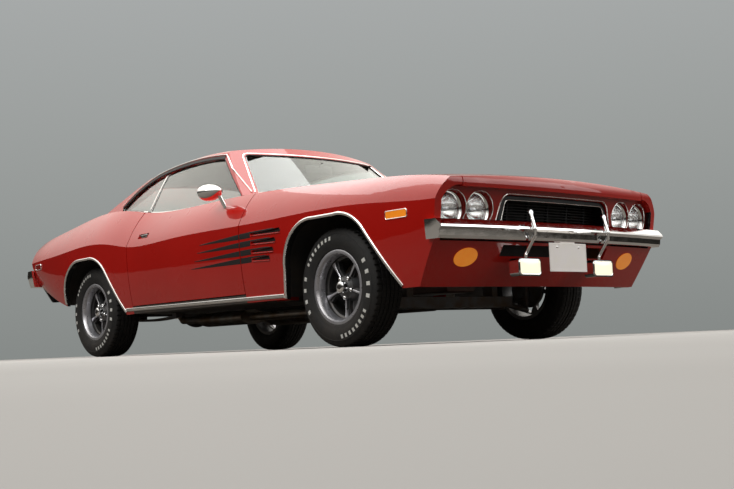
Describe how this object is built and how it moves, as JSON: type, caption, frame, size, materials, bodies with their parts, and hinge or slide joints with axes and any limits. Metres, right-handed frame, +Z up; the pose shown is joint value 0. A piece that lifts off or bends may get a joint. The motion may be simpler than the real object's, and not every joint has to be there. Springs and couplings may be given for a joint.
{
  "type": "two-door hardtop muscle car",
  "caption": "Low hardtop coupe of the early 1970s with recessed round headlamps and chrome bumpers. Doors, hood, decklid and steering move and the wheels roll.",
  "frame": {"origin": "on the ground under the middle of the car's overall length, on its centreline", "axes": "+X points forward along the car, +Y to the car's left and +Z up"},
  "size_m": [4.8903, 2.0492, 1.376],
  "materials": {
    "paint": "gloss",
    "lamp_panel": "gloss",
    "black_paint": "satin",
    "chrome": "polished",
    "wheel": "satin",
    "tyre": "matte",
    "clear_glass": "clear",
    "lamp_glass": "clear",
    "amber_lens": "gloss",
    "red_lens": "gloss",
    "grille_black": "satin",
    "plate": "satin",
    "chassis_black": "matte",
    "cast_metal": "matte",
    "engine_paint": "satin",
    "exhaust_metal": "satin",
    "radiator_black": "matte",
    "trim_black": "satin",
    "seat_vinyl": "satin"
  },
  "bodies": {
    "car": {"front_fenders": "paint", "cowl": "paint", "quarter_panels": "paint", "rear_shelf": "paint", "tail_panel": "black_paint", "header_panel": "lamp_panel", "front_valance": "paint", "roof": "paint", "windows": "clear_glass", "front_bumper": "chrome", "rear_bumper": "chrome", "grille": "grille_black", "headlamps": "lamp_glass", "amber_lamps": "amber_lens", "red_lamps": "red_lens", "fog_lamps": "chrome", "front_plate": "plate", "floor_pan": "chassis_black", "front_frame": "chassis_black", "engine": "engine_paint", "radiator": "radiator_black", "front_suspension": "cast_metal", "rear_axle": "cast_metal", "leaf_springs": "cast_metal", "driveshaft": "exhaust_metal", "exhaust": "exhaust_metal", "fuel_tank": "exhaust_metal", "dashboard": "trim_black", "front_seats": "seat_vinyl", "rear_seat": "seat_vinyl"},
    "left_door": {"door_left": "paint", "door_glass_left": "clear_glass", "mirror_left": "chrome"},
    "right_door": {"door_right": "paint", "door_glass_right": "clear_glass", "mirror_right": "chrome"},
    "hood": {"hood": "paint"},
    "decklid": {"decklid": "paint"},
    "steering_wheel": {"steering_wheel": "trim_black"},
    "steering_link": {"steering_link": "cast_metal"},
    "left_knuckle": {"knuckle_left": "cast_metal"},
    "right_knuckle": {"knuckle_right": "cast_metal"},
    "front_left_wheel": {"tyre_front_left": "tyre", "rim_front_left": "wheel"},
    "front_right_wheel": {"tyre_front_right": "tyre", "rim_front_right": "wheel"},
    "rear_left_wheel": {"tyre_rear_left": "tyre", "rim_rear_left": "wheel"},
    "rear_right_wheel": {"tyre_rear_right": "tyre", "rim_rear_right": "wheel"}
  },
  "joints": [
    {"name": "left_door_hinge", "type": "hinge", "parent": "car", "child": "left_door", "pos_m": [0.716, 0.936, 0.6], "axis": [0, 0, -1], "range_deg": [0, 65]},
    {"name": "right_door_hinge", "type": "hinge", "parent": "car", "child": "right_door", "pos_m": [0.716, -0.936, 0.6], "axis": [0, 0, 1], "range_deg": [0, 65]},
    {"name": "hood_hinge", "type": "hinge", "parent": "car", "child": "hood", "pos_m": [0.85, 0, 0.978], "axis": [0, -1, 0], "range_deg": [0, 50]},
    {"name": "decklid_hinge", "type": "hinge", "parent": "car", "child": "decklid", "pos_m": [-1.64, 0, 1.042], "axis": [0, 1, 0], "range_deg": [0, 60]},
    {"name": "steering_wheel_turn", "type": "hinge", "parent": "car", "child": "steering_wheel", "pos_m": [0.258, 0.372, 0.862], "axis": [-0.9135, 0, 0.4067], "range_deg": [-528, 528]},
    {"name": "left_steer", "type": "hinge", "parent": "car", "child": "left_knuckle", "pos_m": [1.483, 0.688, 0.328], "axis": [0, 0, 1], "range_deg": [-33, 33]},
    {"name": "right_steer", "type": "hinge", "parent": "car", "child": "right_knuckle", "pos_m": [1.483, -0.688, 0.328], "axis": [0, 0, 1], "range_deg": [-33, 33]},
    {"name": "link_swing", "type": "hinge", "parent": "car", "child": "steering_link", "pos_m": [0.009, 0, 0.21], "axis": [0, 0, -1], "range_deg": [-3.75, 3.75]},
    {"name": "front_left_roll", "type": "hinge", "parent": "left_knuckle", "child": "front_left_wheel", "pos_m": [1.483, 0.758, 0.328], "axis": [0, 1, 0], "continuous": true},
    {"name": "front_right_roll", "type": "hinge", "parent": "right_knuckle", "child": "front_right_wheel", "pos_m": [1.483, -0.758, 0.328], "axis": [0, 1, 0], "continuous": true},
    {"name": "rear_left_roll", "type": "hinge", "parent": "car", "child": "rear_left_wheel", "pos_m": [-1.311, 0.771, 0.328], "axis": [0, 1, 0], "continuous": true},
    {"name": "rear_right_roll", "type": "hinge", "parent": "car", "child": "rear_right_wheel", "pos_m": [-1.311, -0.771, 0.328], "axis": [0, 1, 0], "continuous": true}
  ],
  "couplings": [
    {"joint": "left_steer", "follows": "steering_wheel_turn", "ratio": 0.0625},
    {"joint": "right_steer", "follows": "steering_wheel_turn", "ratio": 0.0625},
    {"joint": "link_swing", "follows": "steering_wheel_turn", "ratio": 0.0070793}
  ]
}
